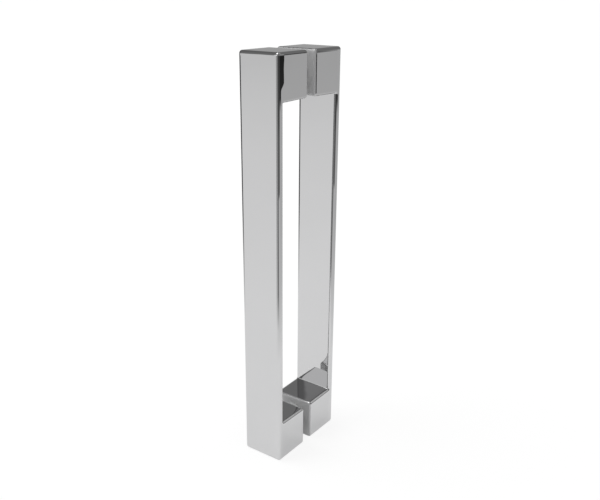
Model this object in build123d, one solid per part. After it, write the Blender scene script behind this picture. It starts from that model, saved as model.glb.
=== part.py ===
from build123d import *
import math
import os

# Back-to-back shower door handle: two square-section pulls, one each side of the glass door.
# X runs across the handle, Y through the glass from the front pull to the rear pull, Z up.
# The origin is on the glass's middle plane, midway across, level with the handle's bottom end.

# Pulls
hole_spacing = 203.0  # between the centres of the two glass holes
pull_width = 25.0
leg_height = 24.0  # where a leg meets its bar
leg_draft = 1.0  # degrees that a leg's inner face slopes away towards its glass end
projection = 24.0  # from a leg's glass end to the bar's outer face
bar_thickness = 4.0
edge_radius = 1.6  # long outer and inner edges
end_edge_radius = 1.3  # round the glass end of each leg
inside_corner_radius = 0.5  # where a leg runs into the bar

# Joint through the glass
glass_thickness = 5.0
gasket_thickness = 0.75
gasket_diameter = 15.0
sleeve_diameter = 10.0
bore_clearance = 0.15  # radial, where a piece slides over a stud
thread_clearance = 0.05  # radial, between a thread's crests and its tapped hole

# Studs
stud_diameter = 6.0
stud_in_front = 14.0  # length screwed into the front pull's leg
stud_in_rear = 16.0  # length that the rear pull's leg slides over
stud_chamfer = 0.7
stud_flat_depth = 0.6
stud_flat_length = 8.0
stud_socket_size = 3.0  # across flats
stud_socket_depth = 3.5
blind_end_clearance = 2.0  # from a stud's end to the full-width end of its hole
drill_point_angle = 118.0
mouth_chamfer = 0.5

# Grub screws
grub_diameter = 5.0
grub_length = 8.0
grub_tip_diameter = 2.6
grub_tip_length = 1.2
grub_chamfer = 0.4
grub_socket_size = 2.5  # across flats
grub_socket_depth = 3.0
grub_from_end = 8.0  # from the leg's glass end to the screw's axis

# Sizes that follow from these
handle_height = hole_spacing + leg_height
end_y = glass_thickness / 2 + gasket_thickness
inner_y = end_y + projection - bar_thickness
outer_y = end_y + projection
bottom_axis_z = leg_height / 2
top_axis_z = handle_height - leg_height / 2
grub_y = end_y + grub_from_end
stud_radius = stud_diameter / 2
bore_radius = stud_radius + bore_clearance
flat_height = stud_radius - stud_flat_depth
leg_end_height = leg_height - (projection - bar_thickness) * math.tan(math.radians(leg_draft))


def turned(points):
    """A solid of revolution about Z, from its outline as (radius, height) points."""
    outline = Polyline([(radius, 0, height) for radius, height in points], close=True)
    return revolve(make_face(outline), Axis.Z)


def aim(shape, direction, place):
    """Turns a shape that was made along +Z to the given direction and moves it to its place."""
    return Plane(origin=place, z_dir=direction).location * shape


def blind_hole(radius, depth):
    """A drilled hole's space, from its mouth at Z 0: a chamfered mouth, a wall and a drill point."""
    point_height = radius / math.tan(math.radians(drill_point_angle / 2))
    return turned([
        (0, 0),
        (radius + mouth_chamfer, 0),
        (radius, mouth_chamfer),
        (radius, depth),
        (0, depth + point_height),
    ])


def hex_socket(across_flats, depth):
    """A hexagon key's space, from its mouth at Z 0 downwards."""
    hexagon = RegularPolygon(radius=across_flats / 2, side_count=6, major_radius=False)
    return extrude(hexagon, amount=-depth)


def touches(edge, axis, value):
    """Whether the whole edge lies in the plane where that axis has that value."""
    box = edge.bounding_box()
    low = getattr(box.min, axis)
    high = getattr(box.max, axis)
    return abs(low - value) < 1e-4 and abs(high - value) < 1e-4


def is_long_edge(edge):
    """Whether an edge is rounded along its length: on a side face, or an outer corner of the bar."""
    on_side = touches(edge, "X", pull_width / 2) or touches(edge, "X", -pull_width / 2)
    on_end = touches(edge, "Y", end_y)
    on_back = touches(edge, "Y", outer_y)
    return (on_side or on_back) and not on_end


def pull_blank():
    """The rear pull without its holes: a flat bar with a leg at each end, all in one piece."""
    with BuildPart() as blank:
        with BuildSketch(Plane.YZ):
            with BuildLine():
                Polyline(
                    (outer_y, 0),
                    (end_y, 0),
                    (end_y, leg_end_height),
                    (inner_y, leg_height),
                    (inner_y, handle_height - leg_height),
                    (end_y, handle_height - leg_end_height),
                    (end_y, handle_height),
                    (outer_y, handle_height),
                    close=True,
                )
            make_face()
        extrude(amount=pull_width / 2, both=True)

        # The inside corners first, then every long edge, then the rim of each leg's glass end.
        across = blank.edges().filter_by(Axis.X)
        inside = [edge for edge in across if touches(edge, "Y", inner_y)]
        fillet(inside, inside_corner_radius)
        long_edges = [edge for edge in blank.edges() if is_long_edge(edge)]
        wall_limit = 0.45 * min(bar_thickness, leg_height)
        fillet(long_edges, min(edge_radius, wall_limit))
        rims = [edge for edge in blank.edges() if touches(edge, "Y", end_y)]
        fillet(rims, min(end_edge_radius, 0.9 * min(edge_radius, wall_limit)))
    return blank.part


def stud():
    """A threaded stud along +Z, from its end in the front pull, with a flat for the grub screw."""
    length = stud_in_front + 2 * end_y + stud_in_rear
    shank = turned([
        (0, 0),
        (stud_radius - stud_chamfer, 0),
        (stud_radius, stud_chamfer),
        (stud_radius, length - stud_chamfer),
        (stud_radius - stud_chamfer, length),
        (0, length),
    ])
    flat_centre = stud_in_front + 2 * end_y + grub_from_end
    flat_cut = Pos(0, flat_height + stud_radius / 2, flat_centre) * Box(
        stud_diameter, stud_radius, stud_flat_length
    )
    socket = Pos(0, 0, length) * hex_socket(stud_socket_size, stud_socket_depth)
    return shank - flat_cut - socket


def grub_screw():
    """A grub screw along +Z, from its tip."""
    radius = grub_diameter / 2
    body = turned([
        (0, 0),
        (grub_tip_diameter / 2, 0),
        (radius, grub_tip_length),
        (radius, grub_length - grub_chamfer),
        (radius - grub_chamfer, grub_length),
        (0, grub_length),
    ])
    return body - Pos(0, 0, grub_length) * hex_socket(grub_socket_size, grub_socket_depth)


def ring(outer_diameter, thickness):
    """A washer or sleeve that slides over a stud, from Z 0 upwards."""
    return turned([
        (bore_radius, 0),
        (outer_diameter / 2, 0),
        (outer_diameter / 2, thickness),
        (bore_radius, thickness),
    ])


def grub_hole(depth):
    """The tapped cross hole's space, from its mouth at Z 0 upwards to the middle of the stud bore."""
    return turned([
        (0, 0),
        (grub_diameter / 2 + thread_clearance + mouth_chamfer, 0),
        (grub_diameter / 2 + thread_clearance, mouth_chamfer),
        (grub_diameter / 2 + thread_clearance, depth),
        (0, depth),
    ])


# For each end of the handle: the heights of its stud and of its grub screw's mouth. Both grub
# screws come in from below, the top one through the leg's sloping inner face.
top_mouth_z = handle_height - leg_height + (inner_y - grub_y) * math.tan(math.radians(leg_draft))
legs = {"bottom": (bottom_axis_z, 0), "top": (top_axis_z, top_mouth_z)}

toward_front = (0, -1, 0)
toward_rear = (0, 1, 0)
downward = (0, 0, -1)
rear_pull = pull_blank()
front_pull = mirror(rear_pull, about=Plane.XZ)
parts = {}

for end, (axis_z, mouth_z) in legs.items():
    tapped = blind_hole(stud_radius + thread_clearance, stud_in_front + blind_end_clearance)
    plain = blind_hole(bore_radius, stud_in_rear + blind_end_clearance)
    front_pull -= aim(tapped, toward_front, (0, -end_y, axis_z))
    rear_pull -= aim(plain, toward_rear, (0, end_y, axis_z))
    rear_pull -= Pos(0, grub_y, mouth_z) * grub_hole(axis_z - mouth_z)

    # The stud's flat faces down, where the grub screw comes in.
    stud_place = Plane(
        origin=(0, -end_y - stud_in_front, axis_z),
        x_dir=(1, 0, 0),
        z_dir=toward_rear,
    )
    parts[f"{end}_stud"] = stud_place.location * stud()
    parts[f"{end}_grub_screw"] = aim(
        grub_screw(), downward, (0, grub_y, axis_z - flat_height)
    )
    sleeve = ring(sleeve_diameter, glass_thickness)
    parts[f"{end}_sleeve"] = aim(sleeve, toward_rear, (0, -glass_thickness / 2, axis_z))
    gasket = ring(gasket_diameter, gasket_thickness)
    parts[f"{end}_front_gasket"] = aim(gasket, toward_rear, (0, -end_y, axis_z))
    parts[f"{end}_rear_gasket"] = aim(gasket, toward_front, (0, end_y, axis_z))

parts["front_pull"] = front_pull
parts["rear_pull"] = rear_pull

os.makedirs("parts", exist_ok=True)
for node, shape in parts.items():
    export_step(shape, f"parts/{node}.step")
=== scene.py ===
import math

import bpy
import numpy as np
from mathutils import Matrix, Vector


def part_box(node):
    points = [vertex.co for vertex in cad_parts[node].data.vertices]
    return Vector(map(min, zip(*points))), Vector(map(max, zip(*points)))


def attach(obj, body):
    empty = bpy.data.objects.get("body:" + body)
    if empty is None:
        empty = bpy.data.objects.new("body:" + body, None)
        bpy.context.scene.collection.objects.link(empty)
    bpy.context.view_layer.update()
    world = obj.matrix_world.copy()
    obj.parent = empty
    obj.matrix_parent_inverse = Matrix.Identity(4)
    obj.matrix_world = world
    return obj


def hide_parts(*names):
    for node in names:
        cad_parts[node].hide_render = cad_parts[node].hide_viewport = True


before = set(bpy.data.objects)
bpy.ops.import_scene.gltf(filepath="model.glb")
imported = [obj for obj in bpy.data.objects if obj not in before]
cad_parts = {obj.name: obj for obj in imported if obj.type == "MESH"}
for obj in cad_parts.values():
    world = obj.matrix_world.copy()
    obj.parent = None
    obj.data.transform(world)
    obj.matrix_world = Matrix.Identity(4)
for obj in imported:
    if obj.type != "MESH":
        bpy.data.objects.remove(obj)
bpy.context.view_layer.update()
scene = bpy.context.scene
print("frame:", len(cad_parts), "CAD pieces")


# Shader maths: a Wire is one output socket, and arithmetic on it adds Math nodes beside it.
class Wire:
    def __init__(self, tree, socket):
        self.tree = tree
        self.socket = socket

    # Adds any node: its settings first, then what its sockets get. Sockets go by name or number.
    def node(self, kind, settings=None, inputs=None, output=0):
        made = self.tree.nodes.new(kind)
        for name, value in (settings or {}).items():
            if name == "stops":
                fillRamp(made.color_ramp, value)
            else:
                setattr(made, name, value)
        for name, value in (inputs or {}).items():
            if isinstance(value, Wire):
                self.tree.links.new(value.socket, made.inputs[name])
            else:
                made.inputs[name].default_value = value
        return Wire(self.tree, made.outputs[output]) if len(made.outputs) else made

    def maths(self, operation, *values):
        settings = {"operation": operation}
        return self.node("ShaderNodeMath", settings, dict(enumerate(values)))

    def vectorMaths(self, operation, *values, output=0):
        settings = {"operation": operation}
        return self.node("ShaderNodeVectorMath", settings, dict(enumerate(values)), output)

    def __add__(self, other):
        return self.maths("ADD", self, other)

    def __radd__(self, other):
        return self.maths("ADD", other, self)

    def __sub__(self, other):
        return self.maths("SUBTRACT", self, other)

    def __rsub__(self, other):
        return self.maths("SUBTRACT", other, self)

    def __mul__(self, other):
        return self.maths("MULTIPLY", self, other)

    def __rmul__(self, other):
        return self.maths("MULTIPLY", other, self)

    def __truediv__(self, other):
        return self.maths("DIVIDE", self, other)

    def __rtruediv__(self, other):
        return self.maths("DIVIDE", other, self)

    def __neg__(self):
        return self.maths("MULTIPLY", self, -1.0)

    def __abs__(self):
        return self.maths("ABSOLUTE", self)

    def upTo(self, other):
        return self.maths("MINIMUM", self, other)

    # 0 below start and 1 past end, with a smooth ramp between them
    def rise(self, start, end):
        settings = {"interpolation_type": "SMOOTHSTEP"}
        places = {"Value": self, "From Min": start, "From Max": end, "To Min": 0.0, "To Max": 1.0}
        return self.node("ShaderNodeMapRange", settings, places)

    # a grey ramp read at this value
    def ramp(self, stops):
        return self.node("ShaderNodeValToRGB", {"stops": stops}, {"Fac": self})

    # this value at share 0, the other at share 1
    def towards(self, other, share):
        return self + (other - self) * share


def fillRamp(ramp, stops):
    while len(ramp.elements) < len(stops):
        ramp.elements.new(1.0)
    for element, (place, tone) in zip(ramp.elements, stops):
        element.position = place
        element.color = (tone, tone, tone, 1.0)


# An empty tree with its output node; the Wire returned is only used to start other nodes from.
def startTree(owner, outputKind):
    owner.use_nodes = True
    tree = owner.node_tree
    tree.nodes.clear()
    output = tree.nodes.new(outputKind)
    return Wire(tree, None), output


def finishTree(wire, output, socketName):
    wire.tree.links.new(wire.socket, output.inputs[socketName])


def splitVector(vector):
    return [vector.node("ShaderNodeSeparateXYZ", None, {0: vector}, n) for n in range(3)]


# A point's place in the handle's frame, whole and as its three coordinates
def objectPoint(start):
    place = start.node("ShaderNodeTexCoord", output="Object")
    return place, splitVector(place)


# Camera, from a perspective fit to the photo's edges
camera = {
    "place": (0.23047, -0.31310, 0.25578),
    "yaw": -35.604,  # from +Y towards +X
    "pitchDown": 20.563,
    "roll": -0.505,
    "lens": 44.47,
    "sensor": 36.0,
    "shiftUp": 0.025,
}


def addCamera(setup):
    yaw, pitch, roll = (math.radians(setup[name]) for name in ("yaw", "pitchDown", "roll"))
    forward = Vector((math.sin(yaw), math.cos(yaw), 0.0)) * math.cos(pitch)
    forward.z = -math.sin(pitch)
    level = Vector((math.cos(yaw), -math.sin(yaw), 0.0))
    down = forward.cross(level)
    right = math.cos(roll) * level + math.sin(roll) * down
    up = math.sin(roll) * level - math.cos(roll) * down
    turn = Matrix((right, up, -forward)).transposed().to_4x4()
    data = bpy.data.cameras.new("photoCamera")
    data.lens = setup["lens"]
    data.sensor_width = setup["sensor"]
    data.shift_y = setup["shiftUp"]
    made = bpy.data.objects.new("photoCamera", data)
    made.matrix_world = Matrix.Translation(setup["place"]) @ turn
    scene.collection.objects.link(made)
    scene.camera = made


addCamera(camera)
print("camera set")


# Chrome plate on both pulls
chrome = {
    "reflectance": 0.62,
    "toneDrift": 0.012,  # faint clouding in the plate
    "cloudScale": 38.0,  # noise scales are in cells to the metre
    "blueness": 1.008,  # blue against red and green
    "roughness": 0.018,
    "haze": 0.05,  # extra roughness where hands and cloths left a film
    "hazeScale": 95.0,
    "hazeOnset": (0.52, 0.78),  # levels of its noise between which the film sets in
    "edgeRoll": 0.18,  # how far buffing has leant a face over at its side edge, as a slope
    "edgeReach": 0.0013,  # metres over which that fades into the flat
    "endRoll": 0.19,  # the same at the handle's two ends
    "endReach": 0.0007,
    "cornerReach": 0.0016,  # added at the corner that buffing has worn most
    "cornerStart": -0.2,  # where that begins, in half widths from the middle
    "sideLean": 0.11,  # slope of the band along the outer edge of each leg's side faces
    "sideFlatness": (0.93, 0.99),  # how squarely a face looks sideways where the band sets in
    "bandWidth": (0.0022, 0.0042),  # where the leg meets the bar, and at the handle's end
    "bandWidens": (0.006, 0.010),  # metres past the leg's inner face
    "bandWander": 0.0018,
    "bandEdge": 0.0003,  # half the width of its soft border
    "legHeight": 0.024,  # from the handle's end to a leg's inner face
    "legEdge": 0.002,  # metres over which the band fades in there
    "waveSlope": 0.010,
    "waveScale": 110.0,
    "satinTone": 0.64,  # the leg ends, which are ground flat and left satin with part of their rims
    "satinRoughness": 0.45,
    "satinDullness": 0.75,
    "satinWidth": (0.0005, 0.0008),  # how far round a rim: above and below, and at the sides
    "satinFade": 0.7,  # share of that width where it starts to fade
}
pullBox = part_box("rear_pull")
halfWidth = pullBox[1].x
glassEnd = pullBox[0].y
outerFace = pullBox[1].y
handleTop = pullBox[1].z
halfHeight = handleTop / 2


def polishedChrome(look):
    material = bpy.data.materials.new("polishedChrome")
    start, output = startTree(material, "ShaderNodeOutputMaterial")
    place, (x, y, z) = objectPoint(start)
    faceNormal = start.node("ShaderNodeNewGeometry", output="Normal")
    sideways = abs(splitVector(faceNormal)[0])
    side = start.maths("SIGN", x)
    across = start.maths("SIGN", y)
    fromMiddle = abs(z - halfHeight)

    # Slow waves in the plate lean every face a little.
    waves = start.node("ShaderNodeTexNoise", None, {
        "Vector": place, "Scale": look["waveScale"], "Detail": 1.5, "Roughness": 0.45,
    }, "Color")
    waveX, waveY, waveZ = [(wave - 0.5) * look["waveSlope"] for wave in splitVector(waves)]

    # Buffing leans a flat face over towards its free edges, by a slope that falls off as an
    # exponential of the distance from the edge.
    def roll(distance, slope, reach):
        return start.maths("EXPONENT", -distance / reach) * slope

    worn = (x * across).rise(look["cornerStart"] * halfWidth, halfWidth)
    endReach = worn * look["cornerReach"] + look["endReach"]
    leanX = side * roll(halfWidth - abs(x), look["edgeRoll"], look["edgeReach"])
    towardsEnd = start.maths("SIGN", z - halfHeight)
    leanZ = towardsEnd * roll(halfHeight - fromMiddle, look["endRoll"], endReach)

    # Beside its outer edge, a leg's side face leans the other way in a band of wandering width.
    legStart = halfHeight - look["legHeight"]
    narrow, wide = look["bandWidth"]
    widensFrom, widensTo = look["bandWidens"]
    width = fromMiddle.rise(legStart + widensFrom, legStart + widensTo) * (wide - narrow) + narrow
    width = width + waveZ * (look["bandWander"] / look["waveSlope"])
    inBand = (outerFace - abs(y) - width).rise(look["bandEdge"], -look["bandEdge"])
    onLegSide = fromMiddle.rise(legStart - look["legEdge"], legStart)
    onLegSide = onLegSide * sideways.rise(*look["sideFlatness"])
    leanY = across * inBand * onLegSide * look["sideLean"]
    lean = start.node("ShaderNodeCombineXYZ", None, {
        0: leanX + waveX, 1: leanY + waveY, 2: leanZ + waveZ,
    })
    leant = start.vectorMaths("ADD", faceNormal, lean)
    normal = start.vectorMaths("NORMALIZE", leant)

    clouds = start.node("ShaderNodeTexNoise", None, {
        "Vector": place, "Scale": look["cloudScale"], "Detail": 4.0, "Roughness": 0.55,
    })
    haze = start.node("ShaderNodeTexNoise", None, {
        "Vector": place, "Scale": look["hazeScale"], "Detail": 5.0, "Roughness": 0.7,
        "Distortion": 0.6,
    }).rise(*look["hazeOnset"])
    aboveEnd, besideEnd = look["satinWidth"]
    satinReach = sideways * (besideEnd - aboveEnd) + aboveEnd
    satin = (abs(y) - glassEnd).rise(satinReach, satinReach * look["satinFade"])
    tone = (clouds - 0.5) * (2.0 * look["toneDrift"]) + look["reflectance"]
    tone = tone.towards(look["satinTone"], satin)
    colour = start.node("ShaderNodeCombineColor", None, {
        0: tone, 1: tone, 2: tone * look["blueness"],
    })
    rough = haze * look["haze"] + look["roughness"]
    shader = start.node("ShaderNodeBsdfPrincipled", None, {
        "Base Color": colour,
        "Metallic": 1.0 - satin * look["satinDullness"],
        "Roughness": rough.towards(look["satinRoughness"], satin),
        "Normal": normal,
    })
    finishTree(shader, output, "Surface")
    return material


# Gives a piece one material.
def dress(piece, material):
    piece.data.materials.clear()
    piece.data.materials.append(material)


chromePlate = polishedChrome(chrome)
for name in ("front_pull", "rear_pull"):
    dress(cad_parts[name], chromePlate)
print("chrome done")


sharpAngle = 35.0  # degrees past which an edge is shaded sharp


# A mesh from a grid of points, rows by columns. Columns always close on themselves. Rows close
# on themselves too, or else each end is closed by a fan to its pole.
def gridPiece(name, points, poles=None):
    rows, columns = points.shape[:2]
    corners = np.arange(rows * columns).reshape(rows, columns)
    lower = corners if poles is None else corners[:-1]
    upper = np.roll(corners, -1, axis=0) if poles is None else corners[1:]
    quads = [lower, np.roll(lower, -1, axis=1), np.roll(upper, -1, axis=1), upper]
    faces = np.stack(quads, axis=-1).reshape(-1, 4).tolist()
    flat = points.reshape(-1, 3)
    if poles is not None:
        flat = np.concatenate([flat, np.array(poles)])
        first, last = rows * columns, rows * columns + 1
        begins, ends = corners[0], corners[-1]
        around = np.roll(begins, -1)
        faces += np.stack([around, begins, np.full(columns, first)], axis=-1).tolist()
        faces += np.stack([ends, np.roll(ends, -1), np.full(columns, last)], axis=-1).tolist()
    mesh = bpy.data.meshes.new(name)
    mesh.from_pydata(flat.tolist(), [], faces)
    mesh.shade_smooth()
    mesh.set_sharp_from_angle(angle=math.radians(sharpAngle))
    piece = bpy.data.objects.new(name, mesh)
    scene.collection.objects.link(piece)
    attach(piece, "root")
    return piece


# Cylinder coordinates to places: along an axis from its start, with the angle counted from the
# first cross direction towards the second.
def aroundAxis(begin, axis, firstCross, height, radius, angle):
    axis, firstCross = np.array(axis), np.array(firstCross)
    secondCross = np.cross(axis, firstCross)
    height, radius = height[..., None], radius[..., None]
    turn = np.cos(angle)[..., None] * firstCross + np.sin(angle)[..., None] * secondCross
    return np.array(begin) + height * axis + radius * turn


# Threaded studs and grub screws. Lengths in metres.
stud = {
    "radius": 0.003, "pitch": 0.001, "length": 0.0365,
    "tipRadius": 0.0023, "tipLength": 0.0007, "chamfer": 0.0007,
    "socket": 0.003, "socketDepth": 0.0035,
    "flatCentre": 0.0285, "flatLength": 0.008, "flatHeight": 0.0024,
}
grub = {
    "radius": 0.0025, "pitch": 0.0008, "length": 0.008,
    "tipRadius": 0.0013, "tipLength": 0.0012, "chamfer": 0.0004,
    "socket": 0.0025, "socketDepth": 0.003,
}
thread = {
    "depthShare": 0.61,  # of the pitch
    "crestShare": 0.125,
    "rootShare": 0.25,
    "stepsPerPitch": 10,
    "columns": 48,
    "leastFacing": 0.001,  # keeps the flat's formula finite on the rod's far side
}


# The radius at a height and an angle is that of the crest, less the groove wherever the helix's
# phase is away from the crest, and no more than the tip's cone, the chamfer and the flat leave.
# After the rod come two rings for the hexagon socket: its mouth and its floor.
def threadedRod(name, size, begin, axis, firstCross):
    angle = np.linspace(0.0, 2.0 * math.pi, thread["columns"], endpoint=False)[None, :]
    steps = round(size["length"] / size["pitch"] * thread["stepsPerPitch"])
    height = np.linspace(0.0, size["length"], steps + 1)[:, None] + 0.0 * angle
    phase = np.mod(height / size["pitch"] - angle / (2.0 * math.pi), 1.0)
    towardsCrest = np.abs(2.0 * phase - 1.0)
    flank = 1.0 - thread["crestShare"] - thread["rootShare"]
    groove = np.clip((1.0 - thread["crestShare"] - towardsCrest) / flank, 0.0, 1.0)
    radius = size["radius"] - groove * thread["depthShare"] * size["pitch"]
    cone = (size["radius"] - size["tipRadius"]) / size["tipLength"]
    radius = np.minimum(radius, size["tipRadius"] + cone * height)
    radius = np.minimum(radius, size["radius"] - size["chamfer"] + size["length"] - height)
    if "flatHeight" in size:
        facing = np.maximum(-np.cos(angle), thread["leastFacing"]) + 0.0 * height
        onFlat = np.abs(height - size["flatCentre"]) < size["flatLength"] / 2
        radius = np.where(onFlat, np.minimum(radius, size["flatHeight"] / facing), radius)

    sector = np.mod(angle, math.pi / 3.0) - math.pi / 6.0
    hexagon = size["socket"] / 2 / np.cos(sector)
    floorHeight = size["length"] - size["socketDepth"]
    mouth = np.full_like(angle, size["length"])
    height = np.concatenate([height, mouth, mouth - size["socketDepth"]])
    radius = np.concatenate([radius, hexagon, hexagon])
    points = aroundAxis(begin, axis, firstCross, height, radius, angle + 0.0 * height)
    poles = [np.array(begin) + along * np.array(axis) for along in (0.0, floorHeight)]
    return gridPiece(name, points, poles)


steel = {
    "studColour": (0.62, 0.61, 0.59),
    "grubColour": (0.38, 0.38, 0.39),
    "roughness": 0.24,
    "toolMarks": 0.14,  # extra roughness in the bands that the thread rolls left
    "toolMarkScale": (5200.0, 900.0),  # cells to the metre along the rod and across it
    "toolMarkShade": 0.16,
    "oil": 0.10,  # how much rougher and darker the patches of dried oil are
    "oilScale": 420.0,
    "oilOnset": (0.45, 0.7),
    "bumpStrength": 0.25,
    "bumpHeight": 0.00002,
}


# Rolled steel: fine streaks that follow the turning, and patches where oil dried.
def rolledSteel(name, look, colour, stretch):
    material = bpy.data.materials.new(name)
    start, output = startTree(material, "ShaderNodeOutputMaterial")
    place, _ = objectPoint(start)
    streakPlace = start.vectorMaths("MULTIPLY", place, stretch)
    streaks = start.node("ShaderNodeTexNoise", None, {
        "Vector": streakPlace, "Scale": 1.0, "Detail": 3.0, "Roughness": 0.6,
    })
    patches = start.node("ShaderNodeTexNoise", None, {
        "Vector": place, "Scale": look["oilScale"], "Detail": 3.0, "Roughness": 0.5,
    }).rise(*look["oilOnset"])
    shade = 1.0 + (streaks - 0.5) * look["toolMarkShade"] - patches * look["oil"]
    tinted = start.node("ShaderNodeCombineColor", None, {
        number: shade * level for number, level in enumerate(colour)
    })
    bump = start.node("ShaderNodeBump", None, {
        "Height": streaks, "Strength": look["bumpStrength"], "Distance": look["bumpHeight"],
    })
    shader = start.node("ShaderNodeBsdfPrincipled", None, {
        "Base Color": tinted,
        "Metallic": 1.0,
        "Roughness": look["roughness"] + streaks * look["toolMarks"] + patches * look["oil"],
        "Normal": bump,
    })
    finishTree(shader, output, "Surface")
    return material


fine, coarse = steel["toolMarkScale"]
studSteel = rolledSteel("studSteel", steel, steel["studColour"], (coarse, fine, coarse))
grubSteel = rolledSteel("grubSteel", steel, steel["grubColour"], (coarse, coarse, fine))
toRear = (0.0, 1.0, 0.0)
toTop = (0.0, 0.0, 1.0)
toFloor = (0.0, 0.0, -1.0)
toRight = (1.0, 0.0, 0.0)
for end in ("top", "bottom"):
    low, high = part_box(end + "_stud")
    middle = high.z - stud["radius"]
    made = threadedRod(end + "ThreadedStud", stud, (0.0, low.y, middle), toRear, toTop)
    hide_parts(end + "_stud")
    dress(made, studSteel)
    low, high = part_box(end + "_grub_screw")
    begin = (0.0, (low.y + high.y) / 2, high.z)
    made = threadedRod(end + "ThreadedGrub", grub, begin, toFloor, toRight)
    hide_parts(end + "_grub_screw")
    dress(made, grubSteel)
print("studs and grub screws done")


# Soft rings on both faces of the glass
gasket = {
    "boreRadius": 0.00315,
    "squareness": 5.0,  # of the section: 2 is an ellipse, more is nearer a rectangle
    "rimWander": 0.00005,
    "sectionPoints": 36,
    "columns": 120,
    "colour": (0.70, 0.71, 0.71),
    "roughness": 0.42,
    "bloom": 0.16,  # how much rougher and paler the dry patches are
    "bloomScale": 310.0,
    "grainScale": 2600.0,
    "grainStrength": 0.35,
    "grainHeight": 0.00004,
}


# The section is a superellipse, whose corners are round, carried round the stud's axis. The
# outer rim wanders in by a sum of two slow waves.
def softRing(name, size, low, high):
    section = np.linspace(0.0, 2.0 * math.pi, size["sectionPoints"], endpoint=False)[:, None]
    angle = np.linspace(0.0, 2.0 * math.pi, size["columns"], endpoint=False)[None, :]
    power = 2.0 / size["squareness"]
    outward = np.sign(np.cos(section)) * np.abs(np.cos(section)) ** power
    along = np.sign(np.sin(section)) * np.abs(np.sin(section)) ** power
    waves = (2.0 + np.sin(3.0 * angle + 0.7) + np.sin(5.0 * angle)) / 4.0
    outer = high.x - waves * size["rimWander"]
    middle = (outer + size["boreRadius"]) / 2
    radius = middle + outward * (outer - size["boreRadius"]) / 2
    height = (along + 1.0) * (high.y - low.y) / 2 + 0.0 * angle
    begin = (0.0, low.y, (low.z + high.z) / 2)
    points = aroundAxis(begin, toRear, toTop, height, radius, angle + 0.0 * height)
    return gridPiece(name, points)


# A soft moulded plastic: clouded colour, dry patches and a fine grain.
def mouldedPlastic(name, look):
    material = bpy.data.materials.new(name)
    start, output = startTree(material, "ShaderNodeOutputMaterial")
    place, _ = objectPoint(start)
    patches = start.node("ShaderNodeTexNoise", None, {
        "Vector": place, "Scale": look["bloomScale"], "Detail": 4.0, "Roughness": 0.6,
    })
    grain = start.node("ShaderNodeTexNoise", None, {
        "Vector": place, "Scale": look["grainScale"], "Detail": 2.0, "Roughness": 0.5,
    })
    shade = 1.0 + (patches - 0.5) * look["bloom"]
    tinted = start.node("ShaderNodeCombineColor", None, {
        number: shade * level for number, level in enumerate(look["colour"])
    })
    bump = start.node("ShaderNodeBump", None, {
        "Height": grain, "Strength": look["grainStrength"], "Distance": look["grainHeight"],
    })
    shader = start.node("ShaderNodeBsdfPrincipled", None, {
        "Base Color": tinted,
        "Roughness": look["roughness"] + (patches - 0.5) * look["bloom"],
        "Normal": bump,
    })
    finishTree(shader, output, "Surface")
    return material


softGrey = mouldedPlastic("softGreyPlastic", gasket)
for end in ("top", "bottom"):
    for face in ("front", "rear"):
        node = f"{end}_{face}_gasket"
        made = softRing(f"{end}{face.title()}Ring", gasket, *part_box(node))
        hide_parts(node)
        dress(made, softGrey)
print("gaskets done")


# Plain moulded sleeves in the glass holes
sleeve = {
    "colour": (0.86, 0.86, 0.82),
    "roughness": 0.38,
    "bloom": 0.06,
    "bloomScale": 260.0,
    "grainScale": 1900.0,
    "grainStrength": 0.35,
    "grainHeight": 0.00004,
}
nylon = mouldedPlastic("naturalNylon", sleeve)
for end in ("top", "bottom"):
    dress(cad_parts[end + "_sleeve"], nylon)
print("sleeves done")


# The studio. Camera rays see white. Metal sees a white table with dark and light surroundings.
# The table's tones are painted shade and painted light that only metal sees: the floor glows with
# them for glossy rays, darker with distance and darker still in some sectors.
# Each list goes round the handle by azimuth, 0 towards -Y and 90 towards +X: where a sector ends,
# over how many degrees it blends with the one before it, and its tones. The table's painted tones
# go by the distance in metres, and the surroundings' by degrees above the horizon.
studio = {
    "worldLevel": 0.50,  # what the object's dull pieces and the floor are lit by
    "lampLevel": 0.25,  # what the soft lamp adds on the floor
    "lampFrom": (-0.62, -0.30, 0.95),
    "lampSpread": 40.0,
    "floorColour": 0.8,
    "whiteLevel": 1.01,  # what camera rays see of the floor away from the shadow
    "shadowShare": 0.25,  # how much of the floor's own shading camera rays see
    "mirroredShare": 0.5,  # and how much metal sees
    "floorSize": 60.0,
    "nearest": 0.05,  # the table's tones run from this distance
    "farthest": 2.5,  # to this one
}
# Painted shade on the table for metal: light falling off with distance, from 1.0 near the handle to a
# darker tone far off.
paintedShadeFaint = [(0.10, 1.0), (0.25, 0.985), (0.87, 0.91), (2.5, 0.79)]
paintedShadeMid = [(0.12, 1.0), (0.27, 0.70), (0.47, 0.58), (2.5, 0.53)]
paintedShadeDeep = [(0.145, 1.0), (0.20, 0.85), (0.235, 0.50), (0.27, 0.25), (0.33, 0.20), (2.5, 0.15)]
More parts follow.
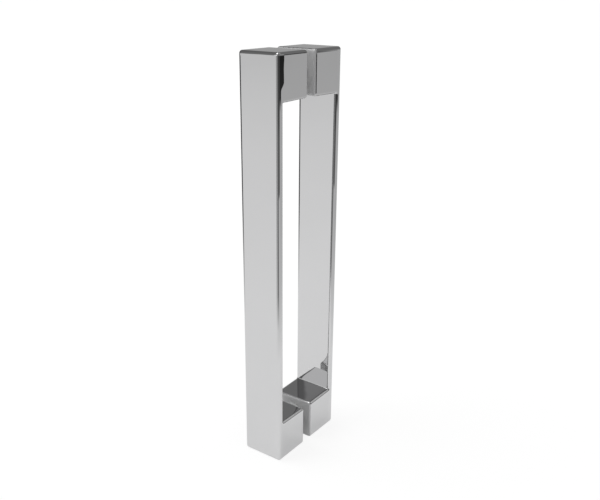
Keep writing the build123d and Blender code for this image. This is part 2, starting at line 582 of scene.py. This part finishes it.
# Painted shade and painted light on the table by sector, seen only by metal; some sectors are painted
# nearly black far off.
paintedFloorSectors = [
    {"name": "backLeft", "ends": -135, "tones": paintedShadeMid},
    {"name": "left", "ends": -52, "blend": 8,
     "tones": [(0.20, 1.0), (0.50, 0.10), (2.5, 0.04)]},
    {"name": "frontLeft", "ends": -24, "blend": 6, "tones": paintedShadeFaint},
    {"name": "besideCamera", "ends": -9, "blend": 2, "tones": paintedShadeDeep},
    {"name": "front", "ends": 7, "blend": 2, "tones": paintedShadeFaint},
    {"name": "behindCamera", "ends": 55, "blend": 4, "tones": paintedShadeDeep},
    {"name": "right", "ends": 86, "blend": 4,
     "tones": [(0.14, 1.0), (0.25, 0.68), (0.58, 0.62), (0.61, 0.13), (1.0, 0.12), (1.15, 0.03),
               (2.5, 0.02)]},
    {"name": "side", "ends": 95, "blend": 2,
     "tones": [(0.14, 1.0), (0.25, 0.68), (0.58, 0.62), (0.61, 0.16), (1.0, 0.14), (2.5, 0.14)]},
    {"name": "farRight", "ends": 136, "blend": 3,
     "tones": [(0.12, 1.0), (0.27, 0.70), (0.47, 0.60), (1.25, 0.55), (1.45, 0.03), (2.5, 0.02)]},
    {"name": "backRight", "ends": 180, "blend": 2, "tones": paintedShadeMid},
]
highSky = [(54, 0.18), (68, 0.50), (90, 0.55)]
lightStrip = [(74, 3.5), (77, 0.50), (90, 0.55)]  # the upper edge of a bright strip, and above
skySectors = [
    {"name": "backLeft", "ends": -130,
     "tones": [(0, 0.37), (8, 0.37), (20, 0.33), (28, 0.20)] + highSky},
    {"name": "left", "ends": -66, "blend": 8,
     "tones": [(0, 0.05), (30, 0.10), (55, 0.18), (56.5, 0.55), (63, 0.55), (65, 3.5)] + lightStrip},
    {"name": "frontLeft", "ends": -36, "blend": 6,
     "tones": [(0, 0.79), (5, 0.79), (9, 0.22), (54, 0.18), (56.5, 0.30), (58, 3.5)] + lightStrip},
    {"name": "softbox", "ends": 12, "blend": 0.8,
     "tones": [(0, 0.85), (8, 0.90), (12, 1.0), (29.3, 1.0), (30.8, 0.40), (45, 0.20), (54, 0.18),
               (56, 3.5)] + lightStrip},
    {"name": "behindCamera", "ends": 66, "blend": 4, "tones": [(0, 0.20)] + highSky},
    {"name": "right", "ends": 136, "blend": 8,
     "tones": [(0, 0.22), (20, 0.26), (45, 0.20)] + highSky},
    {"name": "panel", "ends": 146, "blend": 4,
     "tones": [(0, 0.05), (13, 0.08), (17, 0.75), (50, 0.75), (54, 0.15)] + highSky[1:]},
    {"name": "backRight", "ends": 170, "blend": 3,
     "tones": [(0, 0.42), (5, 0.40), (9, 0.20), (37, 0.20), (40, 0.70), (50, 0.70)] + highSky},
    {"name": "back", "ends": 180, "blend": 3,
     "tones": [(0, 0.37), (8, 0.37), (20, 0.33), (28, 0.20), (37, 0.20), (40, 0.70),
               (50, 0.70)] + highSky},
]
degreesInRadian = 180.0 / math.pi
zenith = 90.0


# The tone that metal sees in a direction, which on the floor is painted shade and painted light:
# each sector's ramp is read at the share, and the sectors are blended one into the next round the
# circle. shareOf turns a tone's place in the list, in metres or degrees, into its place on the ramp.
def sectorTone(x, y, share, shareOf, sectors):
    azimuth = x.maths("ARCTAN2", x, -y) * degreesInRadian
    levels = [
        share.ramp([(shareOf(place), grey) for place, grey in sector["tones"]])
        for sector in sectors
    ]
    tone = levels[0]
    for before, sector, level in zip(sectors, sectors[1:], levels[1:]):
        border, half = before["ends"], sector["blend"] / 2
        tone = tone.towards(level, azimuth.rise(border - half, border + half))
    return tone


# Two switches: 1 for a ray from the camera or through glass, and 1 for a glossy ray
def rayKinds(start):
    direct, through, glossy = [
        start.node("ShaderNodeLightPath", output=kind)
        for kind in ("Is Camera Ray", "Is Transmission Ray", "Is Glossy Ray")
    ]
    return (direct + through).upTo(1.0), glossy


def studioWorld(setup):
    world = bpy.data.worlds.new("studio")
    scene.world = world
    start, output = startTree(world, "ShaderNodeOutputWorld")
    x, y, z = splitVector(start.node("ShaderNodeTexCoord", output="Generated"))
    elevation = start.maths("ARCSINE", z) * degreesInRadian
    mirrored = sectorTone(x, y, elevation / zenith, lambda degrees: degrees / zenith, skySectors)
    seen, glossy = rayKinds(start)
    plain = setup["worldLevel"] + seen * (1.0 - setup["worldLevel"])
    background = start.node("ShaderNodeBackground", None, {
        "Color": (1, 1, 1, 1), "Strength": plain.towards(mirrored, glossy),
    })
    finishTree(background, output, "Surface")


def floorMaterial(setup):
    material = bpy.data.materials.new("whiteFloor")
    start, output = startTree(material, "ShaderNodeOutputMaterial")
    place, (x, y, _) = objectPoint(start)
    distance = start.vectorMaths("LENGTH", place, output="Value")

    # The painted shade's ramps run by the logarithm of the distance.
    nearest = setup["nearest"]
    span = math.log(setup["farthest"] / nearest)
    share = start.maths("LOGARITHM", distance / nearest, math.e) / span
    # mirrored: painted shade and painted light on the table, seen only by metal.
    mirrored = sectorTone(x, y, share, lambda metres: math.log(metres / nearest) / span, paintedFloorSectors)

    # A ray that is neither seen nor glossy meets a plain floor.
    seen, glossy = rayKinds(start)
    other = 1.0 - (seen + glossy).upTo(1.0)
    unshaded = setup["floorColour"] * (setup["worldLevel"] + setup["lampLevel"])
    # For glossy rays the floor's colour is scaled by the painted shade.
    shading = seen * setup["shadowShare"] + glossy * mirrored * (setup["mirroredShare"] / unshaded)
    shading = shading * setup["floorColour"] + other * setup["floorColour"]
    glow = seen * (setup["whiteLevel"] - setup["shadowShare"] * unshaded)
    # Glossy rays see the floor glow with the painted tone: painted light that no lamp gives.
    glow = glow + glossy * mirrored * (1.0 - setup["mirroredShare"])
    colour = start.node("ShaderNodeCombineColor", None, {0: shading, 1: shading, 2: shading})
    lit = start.node("ShaderNodeBsdfDiffuse", None, {"Color": colour})
    shine = start.node("ShaderNodeEmission", None, {"Color": (1, 1, 1, 1), "Strength": glow})
    both = start.node("ShaderNodeAddShader", None, {0: lit, 1: shine})
    finishTree(both, output, "Surface")
    return material


def addFloor(setup):
    half = setup["floorSize"] / 2
    corners = [(-half, -half, 0), (half, -half, 0), (half, half, 0), (-half, half, 0)]
    mesh = bpy.data.meshes.new("floor")
    mesh.from_pydata(corners, [], [(0, 1, 2, 3)])
    floor = bpy.data.objects.new("floor", mesh)
    scene.collection.objects.link(floor)
    mesh.materials.append(floorMaterial(setup))


# A soft lamp for the shadow on the floor. Metal doesn't mirror it.
def addLamp(setup):
    toLamp = Vector(setup["lampFrom"]).normalized()
    data = bpy.data.lights.new("softLamp", "SUN")
    data.energy = setup["lampLevel"] * math.pi / toLamp.z
    data.angle = math.radians(setup["lampSpread"])
    lamp = bpy.data.objects.new("softLamp", data)
    lamp.matrix_world = toLamp.to_track_quat("Z", "Y").to_matrix().to_4x4()
    lamp.visible_glossy = False
    scene.collection.objects.link(lamp)


studioWorld(studio)
addFloor(studio)
addLamp(studio)
scene.view_settings.view_transform = "Standard"
print("studio done")
